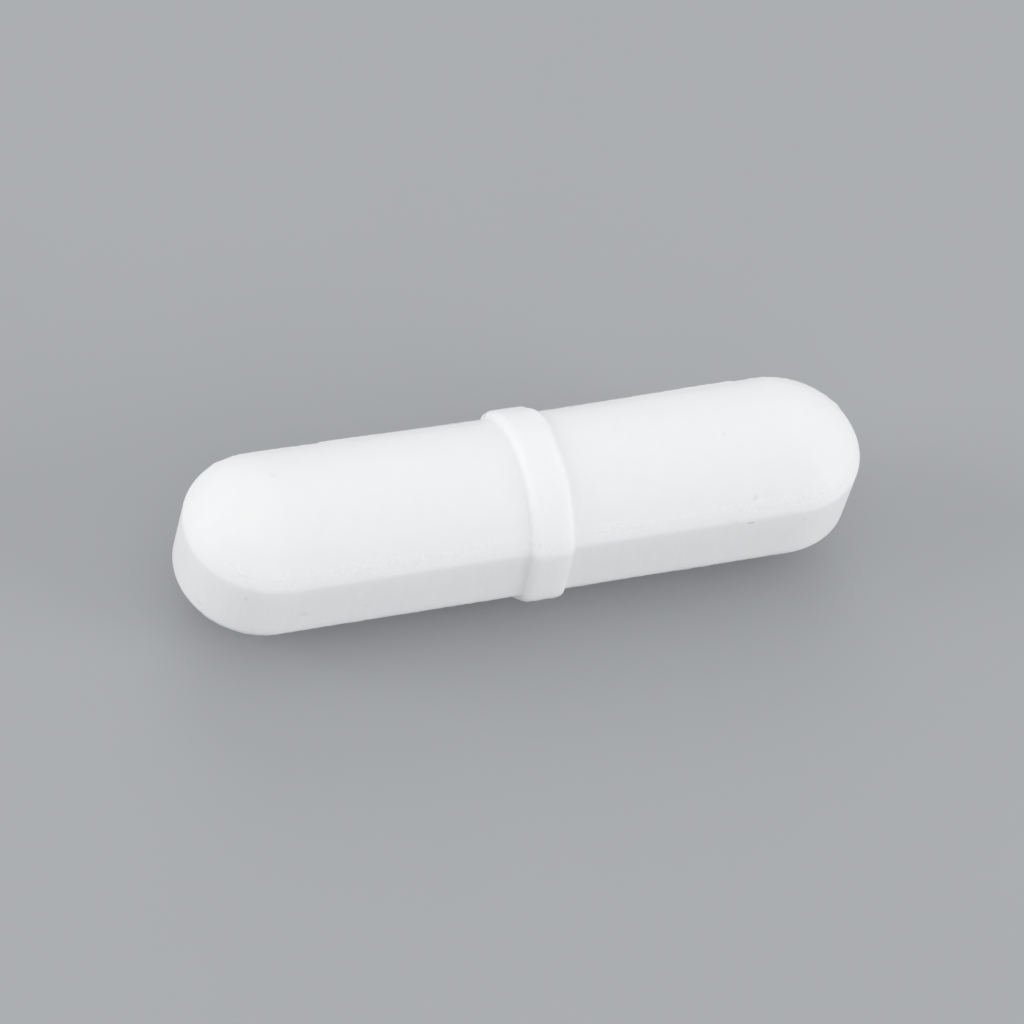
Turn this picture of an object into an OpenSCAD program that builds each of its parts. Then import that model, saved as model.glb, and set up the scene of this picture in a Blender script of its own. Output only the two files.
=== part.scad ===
/* [Bar] */
// Length of the bar over its two round ends
bar_l = 38; // [36:0.5:60]
// Width of the bar across its two flat side bands
bar_w = 9; // [8.8:0.1:9.2]
// Height of the bar over its two domes
bar_h = 9.2; // [9.2:0.1:9.6]
// Height of the side band, up to where it would meet the dome in a sharp edge
band_h = 3.7; // [3.4:0.1:4]
// Radius that softens the edge between the side band and the dome
edge_r = 0.6; // [0.4:0.2:0.8]

/* [Pivot ring] */
// How far the ring stands out from the bar
ring_h = 0.4; // [0.3:0.05:0.5]
// Width of the ring's level crown
crown_w = 1.4; // [1:0.1:2.4]
// Radius of the ring's two round shoulders
shoulder_r = 0.5; // [0.45:0.05:0.6]
// Radius of the fillet where the ring grows out of the bar
root_r = 0.2; // [0.15:0.05:0.3]

/* [Magnet core] */
// Diameter of the rod magnet
magnet_d = 6; // [5:0.5:6.5]
// Length of the rod magnet
magnet_l = 30; // [20:1:31]
// Chamfer round both ends of the rod magnet
magnet_chamfer = 0.5; // [0.2:0.1:1]

/* [Hidden] */
$fn = 96;

// Rounded shapes overlap by this much, so that each pair of arcs crosses cleanly and none only touches
overlap = 0.002;

half_w = bar_w / 2;
// Where the straight run ends and the round ends begin
end_x = bar_l / 2 - half_w;
// Height of the bar's axis over the surface that the pivot ring stands on
axis_z = bar_h / 2 + ring_h;

// Each dome is an arc through its crown and the sharp edges of both bands
dome_rise = (bar_h - band_h) / 2;
dome_r = (half_w * half_w + dome_rise * dome_rise) / (2 * dome_rise);
dome_z = bar_h / 2 - dome_r;

// The edge arc lies against the dome from inside and runs level into the band
edge_y = half_w - edge_r;
edge_angle = acos(edge_y / (dome_r - edge_r));
edge_z = dome_z + (dome_r - edge_r) * sin(edge_angle);

// The shoulder arc and the root fillet lie against each other, which sets how long the flank is
flank_reach = shoulder_r + root_r - overlap;
flank_run = sqrt(pow(flank_reach, 2) - pow(flank_reach - ring_h, 2));
root_x = crown_w / 2 + flank_run;

// Turns a drawn width, height and run into Y, Z and X
module along_bar() {
    rotate([90, 0, 90]) children();
}

// Repeats a shape at all four edges between the bands and the domes
module at_four_edges() {
    for (side = [0, 1], face = [0, 1])
        mirror([side, 0, 0])
            mirror([0, face, 0])
                translate([edge_y, edge_z, 0]) children();
}

// Section through the bar: a flat band at each side, a dome above and one below
module bar_section() {
    seam_z = edge_z + edge_r * sin(edge_angle);
    intersection() {
        square([bar_w, 2 * bar_h], center = true);
        union() {
            square([2 * bar_w, 2 * edge_z], center = true);
            square([2 * edge_y, 2 * seam_z], center = true);
            at_four_edges() circle(edge_r + overlap);
            for (face = [0, 1])
                mirror([0, face])
                    intersection() {
                        translate([0, dome_z]) circle(dome_r);
                        translate([-bar_w, seam_z]) square([2 * bar_w, bar_h]);
                    }
        }
    }
}

// The section runs straight between the ends, and half of it turns round an upright axis at each end
module bar_body() {
    along_bar() linear_extrude(2 * end_x, center = true) bar_section();
    for (end = [0, 1])
        mirror([end, 0, 0])
            translate([end_x, 0, 0])
                rotate([0, 0, -90])
                    rotate_extrude(angle = 180)
                        intersection() {
                            bar_section();
                            translate([0, -bar_h]) square([bar_w, 2 * bar_h]);
                        }
}

// Profile of the ring, drawn on a surface that lies base away from the centre it turns about
module ring_profile(base) {
    shoulder = base + ring_h - shoulder_r;
    fillet = base + root_r - overlap;
    flank_foot = shoulder + (fillet - shoulder) * shoulder_r / flank_reach;
    difference() {
        union() {
            translate([0, -crown_w / 2]) square([base + ring_h, crown_w]);
            translate([0, -root_x]) square([flank_foot, 2 * root_x]);
            for (side = [-1, 1])
                translate([shoulder, side * crown_w / 2]) circle(shoulder_r);
        }
        for (side = [-1, 1])
            translate([fillet, side * root_x]) circle(root_r);
    }
}

// The ring keeps one profile all the way round the section: over both domes, round the edges, down the bands
module pivot_ring() {
    for (face = [0, 1])
        mirror([0, face, 0])
            translate([0, dome_z, 0])
                rotate_extrude(angle = 180 - 2 * edge_angle, start = edge_angle) ring_profile(dome_r);
    at_four_edges()
        rotate_extrude()
            intersection() {
                ring_profile(edge_r + overlap);
                translate([0, -root_x]) square([bar_w, 2 * root_x]);
            }
    for (side = [0, 1])
        mirror([side, 0, 0])
            rotate([90, 0, 0])
                linear_extrude(2 * edge_z, center = true) ring_profile(half_w);
}

// Rod with chamfered ends: the magnet, and the room that the jacket leaves for it
module magnet_rod() {
    straight = magnet_l - 2 * magnet_chamfer;
    rotate([0, 90, 0]) {
        cylinder(d = magnet_d, h = straight, center = true);
        for (end = [0, 1])
            mirror([0, 0, end])
                translate([0, 0, straight / 2])
                    cylinder(d1 = magnet_d, d2 = magnet_d - 2 * magnet_chamfer, h = magnet_chamfer);
    }
}

// White fluoropolymer moulding, bar and pivot ring in one piece, closed all round the magnet
module jacket() {
    color("white")
        translate([0, 0, axis_z])
            difference() {
                union() {
                    bar_body();
                    along_bar() pivot_ring();
                }
                magnet_rod();
            }
}

// Cast rod magnet that the stirrer's turning magnet pulls round
module magnet_core() {
    color("dimgray")
        translate([0, 0, axis_z]) magnet_rod();
}

jacket();
magnet_core();
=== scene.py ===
"""Magnetic stir bar: a white fluoropolymer moulding with a pivot ring, closed all round a rod magnet."""

import math

import bpy
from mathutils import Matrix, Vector


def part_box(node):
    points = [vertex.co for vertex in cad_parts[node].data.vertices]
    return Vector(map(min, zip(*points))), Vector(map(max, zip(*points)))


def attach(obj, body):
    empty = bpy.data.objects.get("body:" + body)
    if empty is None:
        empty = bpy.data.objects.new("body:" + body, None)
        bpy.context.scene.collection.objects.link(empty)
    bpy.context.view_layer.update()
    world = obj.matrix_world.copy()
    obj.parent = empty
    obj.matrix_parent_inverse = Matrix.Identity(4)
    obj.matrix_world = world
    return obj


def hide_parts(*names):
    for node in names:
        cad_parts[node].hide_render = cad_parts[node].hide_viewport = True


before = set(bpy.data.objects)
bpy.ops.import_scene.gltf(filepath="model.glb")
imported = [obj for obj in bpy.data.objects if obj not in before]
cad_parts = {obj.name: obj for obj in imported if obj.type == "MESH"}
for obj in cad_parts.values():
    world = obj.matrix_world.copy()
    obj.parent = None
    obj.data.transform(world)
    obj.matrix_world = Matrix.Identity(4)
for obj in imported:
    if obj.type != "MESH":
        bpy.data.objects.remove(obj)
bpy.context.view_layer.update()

MM = 0.001
WELD = 0.002 * MM

# ---- Sizes of the moulding, from the frame's box and the forms that the box doesn't give ----

jacket_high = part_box("jacket")[1]
magnet_low, magnet_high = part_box("magnet_core")

RING_H = 0.4 * MM
CROWN_W = 1.4 * MM
SHOULDER_R = 0.5 * MM
ROOT_R = 0.2 * MM
EDGE_R = 0.6 * MM
BAND_H = 3.7 * MM
MAGNET_CHAMFER = 0.5 * MM

axis_z = jacket_high.z / 2
half_w = jacket_high.y - RING_H
half_h = axis_z - RING_H
end_x = jacket_high.x - half_w

dome_rise = half_h - BAND_H / 2
dome_r = (half_w**2 + dome_rise**2) / (2 * dome_rise)
dome_z = half_h - dome_r
edge_y = half_w - EDGE_R
edge_angle = math.acos(edge_y / (dome_r - EDGE_R))
edge_z = dome_z + (dome_r - EDGE_R) * math.sin(edge_angle)

# The ring's shoulder and its root fillet turn through the same angle, one after the other
flank_turn = math.acos(1 - RING_H / (SHOULDER_R + ROOT_R))
root_x = CROWN_W / 2 + (SHOULDER_R + ROOT_R) * math.sin(flank_turn)

# ---- Marks that the mould and handling leave on it ----

# The mould line runs round the foot of each dome, this far above where the softened edge ends
MOULD_LINE_UP = 0.54 * MM
mould_line_z = dome_z + dome_r * math.sin(edge_angle + MOULD_LINE_UP / dome_r)
# Thin broken flash stands all along it, and more of it on a stretch of the far side
FLASH_W = 0.18 * MM
FLASH_H = 0.03 * MM
FLASH_BREAK_SIZE = 0.35 * MM
FAR_FLASH_W = 0.24 * MM
FAR_FLASH_H = 0.05 * MM
FAR_FLASH_FROM, FAR_FLASH_TO = -10.6 * MM, 13.1 * MM
# The foot of each dome dips a little above the mould line
FOOT_DIP = 0.02 * MM
FOOT_DIP_W = 1.6 * MM
# Two small nubs of flash stand on the round ends
NUB_H = 0.04 * MM
NUB_W = 0.9 * MM
NUBS = (Vector((18.24, 1.66, 2.52)) * MM, Vector((-16.2, 4.1, 2.0)) * MM)
# Slow waves run all over the bar, this high from trough to crest
WAVE_H = 0.035 * MM
WAVE_SIZE = 4 * MM
WAVE_FADE_AT_RING = 3 * MM
WAVE_FADE_AT_TIP = 2 * MM
# The far upper edge sank a little as the moulding cooled, most of all near the ring
SINK = 0.13 * MM
SINK_MIDDLE = 0.5 * MM
SINK_RUN = 36 * MM
SINK_W = 5 * MM
# The ring's near side leans along the bar, from not at all to fully between two heights over the bar's axis
RING_LEAN = 0.26 * MM
LEAN_FROM, LEAN_TO = 2 * MM, -3 * MM
# The top of the ring's far side is wider, by this much towards either end of the bar
RING_SPREAD = {-1: 0.16 * MM, 1: 0.34 * MM}
# The bar beside the ring takes part in its lean and spread over this length
RING_FADE = 1.2 * MM


# ---- Modelling helpers ----

def only(piece):
    """Selects one object and nothing else."""
    if bpy.context.object and bpy.context.object.mode != "OBJECT":
        bpy.ops.object.mode_set(mode="OBJECT")
    bpy.ops.object.select_all(action="DESELECT")
    piece.select_set(True)
    bpy.context.view_layer.objects.active = piece


def edit(piece):
    """Opens a piece for editing, vertices first."""
    only(piece)
    bpy.ops.object.mode_set(mode="EDIT")
    bpy.ops.mesh.select_mode(type="VERT")


def select_where(piece, test):
    """Selects the vertices whose place passes the test, and the edges between them."""
    bpy.ops.mesh.select_all(action="DESELECT")
    bpy.ops.object.mode_set(mode="OBJECT")
    for vertex in piece.data.vertices:
        vertex.select = test(piece.matrix_world @ vertex.co)
    bpy.ops.object.mode_set(mode="EDIT")


def draw_on(step, count):
    """Extrudes what is selected, count times."""
    for _ in range(count):
        bpy.ops.mesh.extrude_region_move(TRANSFORM_OT_translate={"value": step})


def turn_on(centre, axis, angle, steps):
    """Spins what is selected round an axis, right-handed, and leaves the far end selected."""
    bpy.ops.mesh.spin(steps=steps, angle=-angle, center=centre, axis=axis)


def apply_modifier(piece, kind, **settings):
    """Adds a modifier, sets it and applies it."""
    only(piece)
    modifier = piece.modifiers.new(kind.lower(), kind)
    for name, value in settings.items():
        setattr(modifier, name, value)
    bpy.ops.object.modifier_apply(modifier=modifier.name)


def weigh(piece, name, weight_at):
    """Makes a vertex group whose weight follows a vertex's place, and gives its name."""
    group = piece.vertex_groups.new(name=name)
    for vertex in piece.data.vertices:
        weight = weight_at(vertex.co)
        if weight > 0:
            group.add([vertex.index], min(weight, 1), "REPLACE")
    return group.name


# ---- The moulding ----

# Steps along and round the bar, finer where the ring and the mould line need it
CROWN_STEPS = 5
SHOULDER_STEPS = 9
ROOT_STEPS = 6
RUN_STEP = 0.15 * MM
DOME_STEP = 0.19 * MM
LINE_STEP = 0.03 * MM
# The fine steps run this far to either side of the mould line
LINE_REACH = 0.12 * MM
FOOT_STEPS = 4
EDGE_STEPS = 5
BAND_STEPS = 11
END_STEPS = 48
ROOM_STEPS = 96
# Edges that turn less than this are shaded smooth
SMOOTH_ANGLE = math.radians(40)


def draw_crown_line():
    """Draws the line over the top of the bar, from the middle of the ring to the round end.

    It starts from a small plane that is merged into one point.
    """
    bpy.ops.mesh.primitive_plane_add(size=MM, location=(0, 0, half_h + RING_H))
    line = bpy.context.object
    edit(line)
    bpy.ops.mesh.select_all(action="SELECT")
    bpy.ops.mesh.merge(type="CENTER")
    draw_on((CROWN_W / 2 / CROWN_STEPS, 0, 0), CROWN_STEPS)
    turn_on((CROWN_W / 2, 0, half_h + RING_H - SHOULDER_R), (0, 1, 0), flank_turn, SHOULDER_STEPS)
    turn_on((root_x, 0, half_h + ROOT_R), (0, 1, 0), -flank_turn, ROOT_STEPS)
    run_steps = round((end_x - root_x) / RUN_STEP)
    draw_on(((end_x - root_x) / run_steps, 0, 0), run_steps)
    return line


def sweep_quarter():
    """Carries the line over the dome, round the edge and down the band to the bar's middle height."""
    bpy.ops.mesh.select_all(action="SELECT")
    foot_angle = (MOULD_LINE_UP - LINE_REACH) / dome_r
    line_angle = 2 * LINE_REACH / dome_r
    dome_angle = math.pi / 2 - edge_angle - foot_angle - line_angle
    for angle, steps in (
        (dome_angle, round(dome_angle * dome_r / DOME_STEP)),
        (line_angle, round(2 * LINE_REACH / LINE_STEP)),
        (foot_angle, FOOT_STEPS),
    ):
        turn_on((0, 0, dome_z), (1, 0, 0), angle, steps)
    turn_on((0, -edge_y, edge_z), (1, 0, 0), edge_angle, EDGE_STEPS)
    draw_on((0, 0, -edge_z / BAND_STEPS), BAND_STEPS)


def turn_round_end(quarter):
    """Turns the section at the end of the straight run a quarter round the upright axis there."""
    select_where(quarter, lambda place: abs(place.x - end_x) < WELD)
    turn_on((end_x, 0, 0), (0, 0, 1), math.pi / 2, END_STEPS)
    bpy.ops.mesh.select_all(action="SELECT")
    bpy.ops.mesh.remove_doubles(threshold=WELD)


def make_moulding():
    """Models an eighth of the moulding and mirrors it three ways."""
    moulding = draw_crown_line()
    sweep_quarter()
    turn_round_end(moulding)
    only(moulding)
    bpy.ops.object.transform_apply(location=True, rotation=False, scale=False)
    apply_modifier(moulding, "MIRROR", use_axis=(True, True, True), merge_threshold=WELD)
    edit(moulding)
    bpy.ops.mesh.select_all(action="SELECT")
    bpy.ops.mesh.remove_doubles(threshold=WELD)
    bpy.ops.mesh.normals_make_consistent(inside=False)
    only(moulding)
    moulding.name = "moulded_jacket"
    return moulding


def above_mould_line(place):
    """How far up the dome a point lies from the mould line. Below the dome it is only roughly so."""
    reach = math.hypot(max(abs(place.x) - end_x, 0), place.y)
    above_edge = (math.atan2(abs(place.z) - dome_z, reach) - edge_angle) * dome_r
    return above_edge - MOULD_LINE_UP


def bell(distance, width):
    """A smooth hump, 1 at no distance and 0 from half the width on."""
    share = min(abs(distance) / (width / 2), 1)
    return (math.cos(share * math.pi) + 1) / 2


def foot_weight(place):
    """Where the foot of the dome dips a little above the mould line."""
    return bell(above_mould_line(place) - FOOT_DIP_W / 2, FOOT_DIP_W)


def flash_weight(place):
    """Where the thin flash stands along the mould line."""
    return bell(above_mould_line(place), FLASH_W)


def far_flash_weight(place):
    """Where more flash was left, along the upper line of the far side."""
    if place.z < 0 or place.y < 0 or not FAR_FLASH_FROM < place.x < FAR_FLASH_TO:
        return 0
    return bell(above_mould_line(place), FAR_FLASH_W)


def nub_weight(place):
    """Where two small nubs of flash were left on the round ends."""
    return max(bell((place - nub).length, NUB_W) for nub in NUBS)


def sink_weight(place):
    """Where the upper edge of the far side sank, most of all near the ring."""
    if place.z < 0 or place.y < 0:
        return 0
    return bell(place.x - SINK_MIDDLE, SINK_RUN) * bell(above_mould_line(place), SINK_W)


def with_ring(place):
    """1 on the ring, fading to 0 along the bar beside it."""
    return bell(max(abs(place.x) - root_x, 0), 2 * RING_FADE)


def lean_weight(place):
    """How far the near side of the ring leans along the bar, more and more down its side."""
    down = min(max((LEAN_FROM - place.z) / (LEAN_FROM - LEAN_TO), 0), 1)
    return with_ring(place) * down * max(-place.y, 0) / jacket_high.y


def spread_weight(place, side):
    """How far one edge of the ring is spread at the top of the far side."""
    if place.z < 0:
        return 0
    outwards = min(max(side * place.x, 0) / (CROWN_W / 2), 1)
    return with_ring(place) * outwards * (place.z / half_h) * max(place.y, 0) / half_w


def wave_weight(place):
    """Everywhere but at the tips and at the ring, which keep their full size."""
    from_ring = max(abs(place.x) - root_x, 0)
    from_tip = jacket_high.x - abs(place.x)
    return min(from_ring / WAVE_FADE_AT_RING, from_tip / WAVE_FADE_AT_TIP, 1)


def cloudy(name, size, contrast=1.0):
    """A cloudy texture for the moulding's small unevenness."""
    texture = bpy.data.textures.new(name, "CLOUDS")
    texture.noise_scale = size
    texture.noise_depth = 2
    texture.contrast = contrast
    return texture


def push(moulding, name, weight_at, reach, mid_level=0, **settings):
    """Moves the surface by up to reach where it has weight: outwards, unless a direction is given."""
    group = weigh(moulding, name, weight_at)
    apply_modifier(moulding, "DISPLACE", vertex_group=group, strength=reach, mid_level=mid_level, **settings)


def press_marks(moulding):
    """Gives the moulding its flash and waviness, sinks its far upper edge and sets the ring askew."""
    broken = cloudy("broken_flash", FLASH_BREAK_SIZE, contrast=2.2)
    waves = cloudy("cooling_waves", WAVE_SIZE)
    push(moulding, "foot", foot_weight, -FOOT_DIP)
    push(moulding, "flash", flash_weight, FLASH_H, texture=broken)
    push(moulding, "far_flash", far_flash_weight, FAR_FLASH_H)
    push(moulding, "nubs", nub_weight, NUB_H)
    push(moulding, "waves", wave_weight, WAVE_H, mid_level=0.5, texture=waves)
    push(moulding, "sink", sink_weight, -SINK)
    push(moulding, "lean", lean_weight, RING_LEAN, direction="X")
    for side, spread in RING_SPREAD.items():
        push(moulding, "spread", lambda place: spread_weight(place, side), side * spread, direction="X")


def make_room_for_magnet():
    """The closed room inside the moulding, with its faces turned towards the magnet."""
    size = magnet_high - magnet_low
    bpy.ops.mesh.primitive_cylinder_add(
        vertices=ROOM_STEPS, radius=size.y / 2, depth=size.x, rotation=(0, math.pi / 2, 0)
    )
    room = bpy.context.object
    only(room)
    bpy.ops.object.transform_apply(location=True, rotation=True, scale=True)
    edit(room)
    bpy.ops.mesh.select_mode(type="EDGE")
    bpy.ops.mesh.select_all(action="DESELECT")
    bpy.ops.object.mode_set(mode="OBJECT")
    for edge in room.data.edges:
        ends = [room.data.vertices[index].co.x for index in edge.vertices]
        edge.select = abs(ends[0] - ends[1]) < WELD
    bpy.ops.object.mode_set(mode="EDIT")
    bpy.ops.mesh.bevel(offset=MAGNET_CHAMFER, segments=1)
    bpy.ops.mesh.select_all(action="SELECT")
    bpy.ops.mesh.flip_normals()
    only(room)
    return room


def make_jacket():
    """The whole visible piece: the moulding and the room inside it, as one mesh."""
    jacket = make_moulding()
    press_marks(jacket)
    room = make_room_for_magnet()
    only(jacket)
    room.select_set(True)
    bpy.ops.object.join()
    bpy.ops.object.shade_smooth_by_angle(angle=SMOOTH_ANGLE)
    jacket.location.z = axis_z
    bpy.ops.object.transform_apply(location=True, rotation=False, scale=False)
    jacket.vertex_groups.clear()
    return jacket


jacket = make_jacket()

# ---- Camera ----

CAMERA_AZIMUTH = math.radians(-32.23)
CAMERA_ELEVATION = math.radians(51.64)
CAMERA_ROLL = math.radians(17.56)
CAMERA_DISTANCE = 305.4 * MM
# Width of the camera's sensor in Blender's own millimetres
SENSOR = 36
# Width of the view at the bar's middle
FRAME_WIDTH = 54.45 * MM
FRAME_PIXELS = 1024
# Where the bar's middle sits in the picture, right of and above the picture's own middle
MIDDLE_RIGHT = 8.6 / FRAME_PIXELS
MIDDLE_ABOVE = 8.3 / FRAME_PIXELS

bar_middle = Vector((0, 0, axis_z))
camera_back = Vector((
    math.sin(CAMERA_AZIMUTH) * math.cos(CAMERA_ELEVATION),
    -math.cos(CAMERA_AZIMUTH) * math.cos(CAMERA_ELEVATION),
    math.sin(CAMERA_ELEVATION),
))
bpy.ops.object.camera_add(location=bar_middle + camera_back * CAMERA_DISTANCE)
camera = bpy.context.object
camera.data.sensor_width = SENSOR
camera.data.lens = SENSOR * CAMERA_DISTANCE / FRAME_WIDTH
camera.data.shift_x = -MIDDLE_RIGHT
camera.data.shift_y = -MIDDLE_ABOVE
camera.data.clip_start = 10 * MM
camera.rotation_euler = (math.pi / 2 - CAMERA_ELEVATION, 0, CAMERA_AZIMUTH)
camera.rotation_euler.rotate_axis("Z", CAMERA_ROLL)
bpy.context.scene.camera = camera

# ---- Node helpers ----


def add_node(tree, kind, **settings):
    """Adds a shader node and sets its properties."""
    made = tree.nodes.new("ShaderNode" + kind)
    for name, value in settings.items():
        setattr(made, name, value)
    return made


def feed(tree, socket, source):
    """Sets a socket to a plain value, or links an output into it."""
    if isinstance(source, bpy.types.NodeSocket):
        tree.links.new(source, socket)
    else:
        socket.default_value = source


def compute(tree, operation, *sources):
    """A Math node, by its result."""
    made = add_node(tree, "Math", operation=operation)
    for socket, source in zip(made.inputs, sources):
        feed(tree, socket, source)
    return made.outputs["Value"]


def ramp_between(tree, source, off, full):
    """A smooth change from 0 to 1 while the source goes from one value to the other."""
    made = add_node(tree, "MapRange", interpolation_type="SMOOTHSTEP")
    made.inputs["From Min"].default_value = off
    made.inputs["From Max"].default_value = full
    feed(tree, made.inputs["Value"], source)
    return made.outputs["Result"]


def noise(tree, vector, size, detail=2.0, roughness=0.5):
    """A noise whose features are about the given size."""
    made = add_node(tree, "TexNoise")
    feed(tree, made.inputs["Vector"], vector)
    feed(tree, made.inputs["Scale"], compute(tree, "DIVIDE", 1.0, size))
    made.inputs["Detail"].default_value = detail
    made.inputs["Roughness"].default_value = roughness
    return made.outputs["Fac"]


def stretch(tree, vector, scale):
    """The same pattern, closer together along each axis by the given factors."""
    made = add_node(tree, "Mapping")
    feed(tree, made.inputs["Vector"], vector)
    made.inputs["Scale"].default_value = scale
    return made.outputs["Vector"]


def blend_colours(tree, factor, first, second):
    """A mix of two colours."""
    made = add_node(tree, "Mix", data_type="RGBA")
    colour_sockets = [socket for socket in made.inputs if socket.type == "RGBA"]
    feed(tree, made.inputs["Factor"], factor)
    for socket, colour in zip(colour_sockets, (first, second)):
        feed(tree, socket, colour if isinstance(colour, bpy.types.NodeSocket) else (*colour, 1))
    return [socket for socket in made.outputs if socket.type == "RGBA"][0]


def new_group(name, inputs, outputs):
    """A shader node group with named sockets, and its two end nodes."""
    group = bpy.data.node_groups.new(name, "ShaderNodeTree")
    for label, kind in inputs:
        group.interface.new_socket(name=label, in_out="INPUT", socket_type="NodeSocket" + kind)
    for label in outputs:
        group.interface.new_socket(name=label, in_out="OUTPUT", socket_type="NodeSocketFloat")
    return group, group.nodes.new("NodeGroupInput"), group.nodes.new("NodeGroupOutput")


def place_group(tree, group, **inputs):
    """Puts a shared group into a material with that material's own values."""
    made = add_node(tree, "Group", node_tree=group)
    for name, source in inputs.items():
        feed(tree, made.inputs[name.replace("_", " ")], source)
    return made


# ---- Effects that several materials share ----

# Pores are this many times the size of the grain, and make up this share of its height
PORE_TO_GRAIN = 3.5
PORE_SHARE = 0.4
# The tone goes from one colour to the other between these values of its noise
TONE_FROM, TONE_TO = 0.35, 0.65
# Shares of the specks' spacing: smallest radius, what chance adds to it, and how ragged and soft its rim is
SPECK_R = 0.04
SPECK_R_SPREAD = 0.14
SPECK_RAGGED = 0.12
SPECK_SOFT = 0.03


def make_grain_group():
    """Fine grain of a pressed or cast surface: its height, and a slow change of tone."""
    given_sockets = [("Vector", "Vector"), ("Grain Size", "Float"), ("Tone Size", "Float")]
    group, given, result = new_group("fine_grain", given_sockets, ["Height", "Tone"])
    vector, grain_size = given.outputs["Vector"], given.outputs["Grain Size"]
    grain = noise(group, vector, grain_size, detail=3, roughness=0.6)
    pores = noise(group, vector, compute(group, "MULTIPLY", grain_size, PORE_TO_GRAIN))
    grain_height = compute(group, "MULTIPLY", grain, 1 - PORE_SHARE)
    height = compute(group, "MULTIPLY_ADD", pores, PORE_SHARE, grain_height)
    feed(group, result.inputs["Height"], height)
    tone = noise(group, vector, given.outputs["Tone Size"], detail=4, roughness=0.6)
    feed(group, result.inputs["Tone"], ramp_between(group, tone, TONE_FROM, TONE_TO))
    return group


def make_speck_group():
    """Sparse specks or pits of uneven size, as a mask."""
    given_sockets = [("Vector", "Vector"), ("Spacing", "Float"), ("Share", "Float")]
    group, given, result = new_group("sparse_specks", given_sockets, ["Mask"])
    vector, spacing = given.outputs["Vector"], given.outputs["Spacing"]
    cells = add_node(group, "TexVoronoi", feature="F1")
    feed(group, cells.inputs["Vector"], vector)
    feed(group, cells.inputs["Scale"], compute(group, "DIVIDE", 1.0, spacing))
    chance = add_node(group, "SeparateColor")
    feed(group, chance.inputs["Color"], cells.outputs["Color"])
    chosen = compute(group, "LESS_THAN", chance.outputs["Red"], given.outputs["Share"])
    radius = compute(group, "MULTIPLY_ADD", chance.outputs["Green"], SPECK_R_SPREAD, SPECK_R)
    ragged = noise(group, vector, compute(group, "MULTIPLY", spacing, SPECK_RAGGED))
    distance = compute(group, "MULTIPLY", cells.outputs["Distance"], compute(group, "ADD", ragged, 0.5))
    inside = ramp_between(group, compute(group, "SUBTRACT", radius, distance), 0, SPECK_SOFT)
    feed(group, result.inputs["Mask"], compute(group, "MULTIPLY", chosen, inside))
    return group


fine_grain = make_grain_group()
sparse_specks = make_speck_group()

# ---- Materials ----

FLUOROPOLYMER = (0.93, 0.93, 0.925)
MOTTLED = (0.905, 0.907, 0.905)
DRAWN = (0.85, 0.852, 0.85)
# Painted highlight: the torn specks are painted whiter than the moulding, for the glints their rough edges
# catch
TORN_PAINTED_HIGHLIGHT = (0.995, 0.995, 0.99)
DUST = (0.7, 0.67, 0.62)
MAGNET_ALLOY = (0.2, 0.2, 0.21)
MAGNET_ALLOY_PALE = (0.27, 0.26, 0.255)
PIT = (0.09, 0.085, 0.08)
FLOOR_GREY = (0.42, 0.427, 0.44)
FLOOR_GREY_DEEP = (0.413, 0.42, 0.433)


def plain_material(name, colour, roughness, **sockets):
    """A material with its Principled BSDF set to plain values, and its nodes to build on."""
    material = bpy.data.materials.new(name)
    material.use_nodes = True
    tree = material.node_tree
    shader = tree.nodes["Principled BSDF"]
    shader.inputs["Base Color"].default_value = (*colour, 1)
    shader.inputs["Roughness"].default_value = roughness
    for socket, value in sockets.items():
        shader.inputs[socket.replace("_", " ")].default_value = value
    return material, tree, shader


def give(piece, material):
    """Gives a piece one material all over."""
    piece.data.materials.clear()
    piece.data.materials.append(material)


def bump_from(tree, shader, height, distance):
    """Sends a height into the shader's normal."""
    bump = add_node(tree, "Bump")
    bump.inputs["Distance"].default_value = distance
    feed(tree, bump.inputs["Height"], height)
    tree.links.new(bump.outputs["Normal"], shader.inputs["Normal"])


# Small marks on the near side, in mm: place, width and height of the mark, colour and how strongly it shows
HANDLING_MARKS = (
    ((11.35, -4.5, 6.55), (0.5, 0.16), (0.50, 0.46, 0.38), 0.6),
    ((10.24, -4.45, 6.9), (0.8, 0.6), (0.87, 0.84, 0.70), 0.35),
    ((10.45, -4.5, 6.7), (0.12, 0.3), (0.68, 0.65, 0.56), 0.5),
    ((11.55, -3.83, 7.85), (0.35, 0.3), (0.76, 0.74, 0.72), 0.4),
    ((14.6, -4.5, 6.1), (0.3, 0.14), (0.66, 0.62, 0.58), 0.45),
    ((-16.7, -3.92, 5.97), (0.25, 0.5), (0.66, 0.66, 0.66), 0.3),
    ((-10.58, -4.5, 5.7), (0.3, 0.3), (0.98, 0.98, 0.98), 0.6),
    ((-10.05, -4.5, 4.43), (0.25, 0.25), (0.70, 0.69, 0.67), 0.3),
    ((-13.51, -4.5, 4.6), (0.45, 0.3), (0.66, 0.64, 0.62), 0.35),
    ((-18.4, -2.2, 3.7), (0.3, 0.25), (0.70, 0.69, 0.67), 0.3),
)
MARK_DEPTH = 2
MARK_RAGGED_SIZE = 0.15 * MM
MARK_RAGGED = 0.9
# A mark has its full colour out to the first share of its size, and none from the second on
MARK_FULL, MARK_END = 0.2, 0.5


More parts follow.
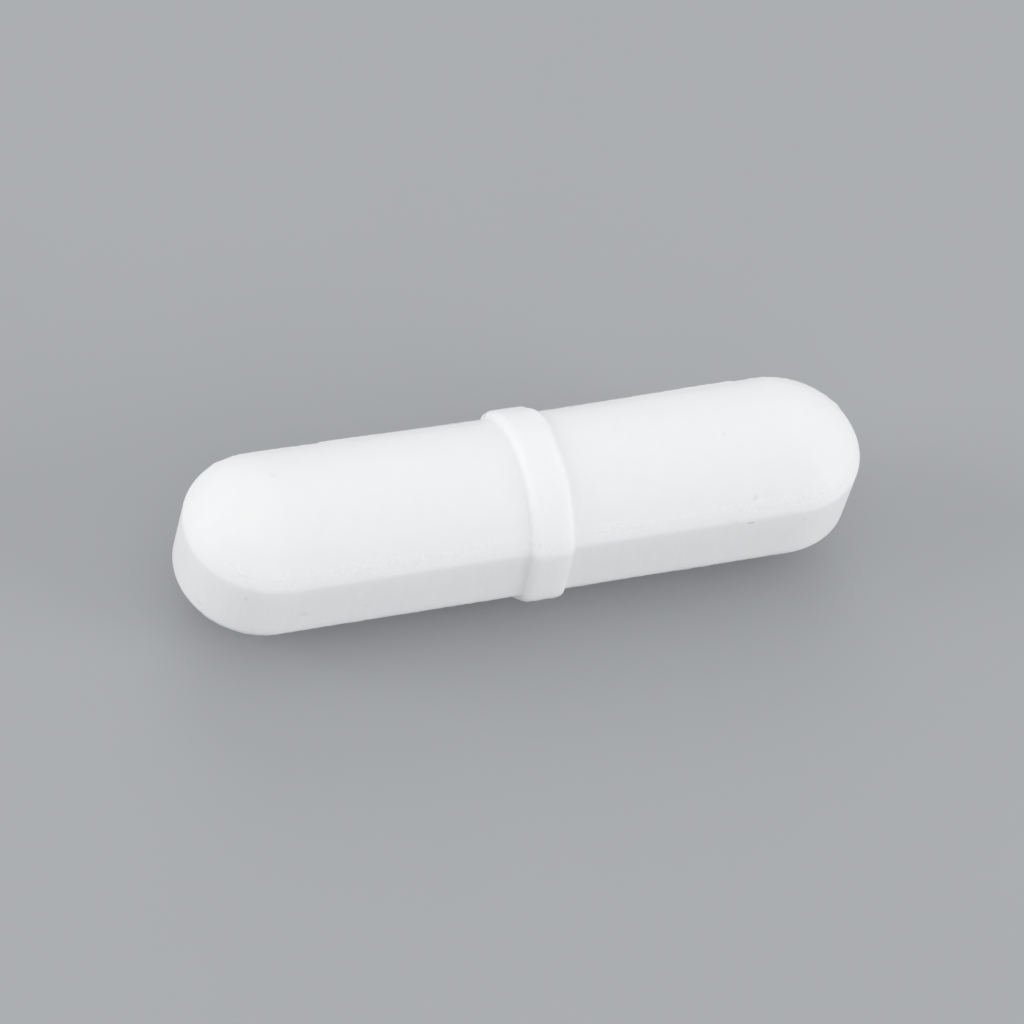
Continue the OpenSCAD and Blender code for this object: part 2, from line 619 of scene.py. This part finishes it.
def mark_mask(tree, place, point, size):
    """A small ragged patch round a point of the surface."""
    offset = add_node(tree, "VectorMath", operation="SUBTRACT")
    feed(tree, offset.inputs[0], place)
    offset.inputs[1].default_value = [value * MM for value in point]
    width, height = size
    shape = stretch(tree, offset.outputs["Vector"], [1 / (side * MM) for side in (width, MARK_DEPTH, height)])
    distance = add_node(tree, "VectorMath", operation="LENGTH")
    feed(tree, distance.inputs[0], shape)
    ragged = compute(tree, "MULTIPLY", noise(tree, place, MARK_RAGGED_SIZE, detail=3), MARK_RAGGED)
    evened = compute(tree, "SUBTRACT", ragged, MARK_RAGGED / 2)
    return ramp_between(tree, compute(tree, "ADD", distance.outputs["Value"], evened), MARK_END, MARK_FULL)


def add_handling_marks(tree, place, shade):
    """Lays the small marks over the colour, one after another."""
    for point, size, colour, strength in HANDLING_MARKS:
        mask = compute(tree, "MULTIPLY", mark_mask(tree, place, point, size), strength)
        shade = blend_colours(tree, mask, shade, colour)
    return shade


# The draw lines fade out towards the crease at the top and the bottom of the band
DRAW_LINES_END = BAND_H / 2 + 0.1 * MM
DRAW_LINES_FULL = BAND_H / 2 - 0.3 * MM
DRAW_LINE_W = 0.22 * MM
DRAW_LINE_STRETCH = (1, 1, 0.05)


def draw_lines_on_bands(tree, place, from_middle):
    """Fine upright lines that drawing out of the mould leaves on the bands, as a height and a mask."""
    on_band = ramp_between(tree, from_middle, DRAW_LINES_END, DRAW_LINES_FULL)
    lines = noise(tree, stretch(tree, place, DRAW_LINE_STRETCH), DRAW_LINE_W, detail=3, roughness=0.65)
    return compute(tree, "MULTIPLY", on_band, lines)


# The skin is torn within this far of the mould line, and only in patches
TORN_REACH = 0.5 * MM
TORN_FULL = 0.1 * MM
TORN_SIZE = 0.16 * MM
TORN_FROM, TORN_TO = 0.5, 0.6
TORN_PATCH_SIZE = 1.6 * MM
TORN_PATCH_FROM, TORN_PATCH_TO = 0.4, 0.56


def torn_specks_at_line(tree, place, from_middle):
    """Small torn specks along the mould line, as a height and a mask; the mask also places the painted
    highlight that makes them whiter.
    """
    from_line = compute(tree, "ABSOLUTE", compute(tree, "SUBTRACT", from_middle, mould_line_z))
    near_line = ramp_between(tree, from_line, TORN_REACH, TORN_FULL)
    torn_specks_and_highlight = ramp_between(tree, noise(tree, place, TORN_SIZE, detail=3, roughness=0.7), TORN_FROM, TORN_TO)
    patches = ramp_between(tree, noise(tree, place, TORN_PATCH_SIZE), TORN_PATCH_FROM, TORN_PATCH_TO)
    return compute(tree, "MULTIPLY", compute(tree, "MULTIPLY", near_line, torn_specks_and_highlight), patches)


MOULDED_GRAIN_SIZE = 0.09 * MM
MOULDED_TONE_SIZE = 2.2 * MM
DUST_SPACING = 1.3 * MM
DUST_SHARE = 0.06
# How far light runs under the surface, and how far each colour of it does beside that
SCATTER_REACH = 1.5 * MM
SCATTER_COLOURS = (1, 0.95, 0.88)
# The satin goes from this roughness up by the spread, and torn specks are rougher still
SATIN_ROUGHNESS = 0.46
SATIN_SPREAD = 0.08
TORN_ROUGHER = 0.25
# How much of each effect shows in the colour
MOTTLE_SHADE = 0.5
DRAWN_SHADE = 0.6
DUST_SHADE = 0.16
# Depth of the grain, and the relief of the lines and specks beside it
GRAIN_DEPTH = 0.012 * MM
DRAWN_RELIEF = 0.8
TORN_RELIEF = 0.5


def make_fluoropolymer():
    """White, satin and slightly see-through, with the draw lines, torn specks and marks of this moulding; the
    specks' whiter colour is a painted highlight.
    """
    material, tree, shader = plain_material(
        "white_fluoropolymer", FLUOROPOLYMER, SATIN_ROUGHNESS + SATIN_SPREAD / 2, IOR=1.36,
        Subsurface_Weight=1, Subsurface_Scale=SCATTER_REACH, Subsurface_Radius=SCATTER_COLOURS
    )
    place = add_node(tree, "TexCoord").outputs["Object"]
    axes = add_node(tree, "SeparateXYZ")
    feed(tree, axes.inputs["Vector"], place)
    from_middle = compute(tree, "ABSOLUTE", compute(tree, "SUBTRACT", axes.outputs["Z"], axis_z))
    lines = draw_lines_on_bands(tree, place, from_middle)
    torn_specks_and_highlight = torn_specks_at_line(tree, place, from_middle)
    grain = place_group(
        tree, fine_grain, Vector=place, Grain_Size=MOULDED_GRAIN_SIZE, Tone_Size=MOULDED_TONE_SIZE
    )
    dust = place_group(tree, sparse_specks, Vector=place, Spacing=DUST_SPACING, Share=DUST_SHARE)

    mottle = compute(tree, "MULTIPLY", grain.outputs["Tone"], MOTTLE_SHADE)
    shade = blend_colours(tree, mottle, FLUOROPOLYMER, MOTTLED)
    shade = blend_colours(tree, compute(tree, "MULTIPLY", lines, DRAWN_SHADE), shade, DRAWN)
    # The torn specks are painted whiter here as a painted highlight; their roughness and relief below are
    # real
    shade = blend_colours(tree, torn_specks_and_highlight, shade, TORN_PAINTED_HIGHLIGHT)
    shade = blend_colours(tree, compute(tree, "MULTIPLY", dust.outputs["Mask"], DUST_SHADE), shade, DUST)
    feed(tree, shader.inputs["Base Color"], add_handling_marks(tree, place, shade))

    satin = compute(tree, "MULTIPLY_ADD", grain.outputs["Tone"], SATIN_SPREAD, SATIN_ROUGHNESS)
    feed(tree, shader.inputs["Roughness"], compute(tree, "MULTIPLY_ADD", torn_specks_and_highlight, TORN_ROUGHER, satin))

    height = compute(tree, "MULTIPLY_ADD", lines, DRAWN_RELIEF, grain.outputs["Height"])
    height = compute(tree, "MULTIPLY_ADD", torn_specks_and_highlight, TORN_RELIEF, height)
    bump_from(tree, shader, height, GRAIN_DEPTH)
    return material


CAST_GRAIN_SIZE = 0.15 * MM
CAST_TONE_SIZE = 1.5 * MM
CAST_DEPTH = 0.03 * MM
CAST_ROUGHNESS = 0.45
CAST_ROUGHNESS_SPREAD = 0.2
PIT_SPACING = 0.7 * MM
PIT_SHARE = 0.35
# Grinding leaves rings of this width, which run round the rod
GRINDING_RING_W = 0.12 * MM
GRINDING_STRETCH = (1, 0.04, 0.04)


def make_cast_metal():
    """Dull dark cast magnet alloy, pitted and slightly uneven, with fine rings from grinding."""
    material, tree, shader = plain_material(
        "cast_magnet_alloy", MAGNET_ALLOY, CAST_ROUGHNESS + CAST_ROUGHNESS_SPREAD / 2, Metallic=0.9
    )
    place = add_node(tree, "TexCoord").outputs["Object"]
    grain = place_group(tree, fine_grain, Vector=place, Grain_Size=CAST_GRAIN_SIZE, Tone_Size=CAST_TONE_SIZE)
    pits = place_group(tree, sparse_specks, Vector=place, Spacing=PIT_SPACING, Share=PIT_SHARE)
    shade = blend_colours(tree, grain.outputs["Tone"], MAGNET_ALLOY, MAGNET_ALLOY_PALE)
    shade = blend_colours(tree, pits.outputs["Mask"], shade, PIT)
    feed(tree, shader.inputs["Base Color"], shade)
    rough = compute(tree, "MULTIPLY_ADD", grain.outputs["Tone"], CAST_ROUGHNESS_SPREAD, CAST_ROUGHNESS)
    feed(tree, shader.inputs["Roughness"], rough)
    rings = noise(tree, stretch(tree, place, GRINDING_STRETCH), GRINDING_RING_W, detail=3, roughness=0.7)
    height = compute(tree, "SUBTRACT", grain.outputs["Height"], pits.outputs["Mask"])
    bump_from(tree, shader, compute(tree, "ADD", height, rings), CAST_DEPTH)
    return material


FLOOR_GRAIN_SIZE = 0.4 * MM
FLOOR_TONE_SIZE = 60 * MM
FLOOR_ROUGHNESS = 0.9


def make_floor_paint():
    """Pale matt grey of a studio table."""
    material, tree, shader = plain_material("pale_floor", FLOOR_GREY, FLOOR_ROUGHNESS)
    place = add_node(tree, "TexCoord").outputs["Object"]
    grain = place_group(
        tree, fine_grain, Vector=place, Grain_Size=FLOOR_GRAIN_SIZE, Tone_Size=FLOOR_TONE_SIZE
    )
    shade = blend_colours(tree, grain.outputs["Tone"], FLOOR_GREY, FLOOR_GREY_DEEP)
    feed(tree, shader.inputs["Base Color"], shade)
    return material


fluoropolymer = make_fluoropolymer()
cast_metal = make_cast_metal()
floor_paint = make_floor_paint()

# ---- Floor, world and lamps ----

FLOOR_R = 1.5
FLOOR_STEPS = 128
SKY_COLOUR = (0.97, 0.985, 1, 1)
SKY_STRENGTH = 0.76
LIGHT_SPREAD = math.radians(35)
# Each light's name, azimuth and elevation in degrees, and strength
SOFT_LIGHTS = (
    ("left_light", -100, 20, 0.8),
    ("right_light", 58, 18, 0.74),
    ("back_light", 169, 38, 0.26),
    ("front_light", -25, 8, 0.15),
)


def lay_floor():
    """A wide round floor at the level that the bar lies on."""
    bpy.ops.mesh.primitive_circle_add(
        vertices=FLOOR_STEPS, radius=FLOOR_R, fill_type="NGON", location=(0, 0, 0)
    )
    floor = bpy.context.object
    floor.name = "floor"
    give(floor, floor_paint)
    return floor


def light_sky():
    """An even pale sky all round."""
    world = bpy.data.worlds.new("studio")
    world.use_nodes = True
    sky = world.node_tree.nodes["Background"]
    sky.inputs["Color"].default_value = SKY_COLOUR
    sky.inputs["Strength"].default_value = SKY_STRENGTH
    bpy.context.scene.world = world


def add_soft_light(name, azimuth, elevation, strength):
    """A light from far away, as wide in the sky as a large softbox."""
    bpy.ops.object.light_add(type="SUN", rotation=(math.radians(90 - elevation), 0, math.radians(azimuth)))
    lamp = bpy.context.object
    lamp.name = name
    lamp.data.angle = LIGHT_SPREAD
    lamp.data.energy = strength


lay_floor()
light_sky()
for light in SOFT_LIGHTS:
    add_soft_light(*light)

bpy.context.scene.view_settings.view_transform = "Standard"

# ---- How the pieces belong to the frame ----

give(jacket, fluoropolymer)
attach(jacket, "root")
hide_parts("jacket")
give(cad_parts["magnet_core"], cast_metal)
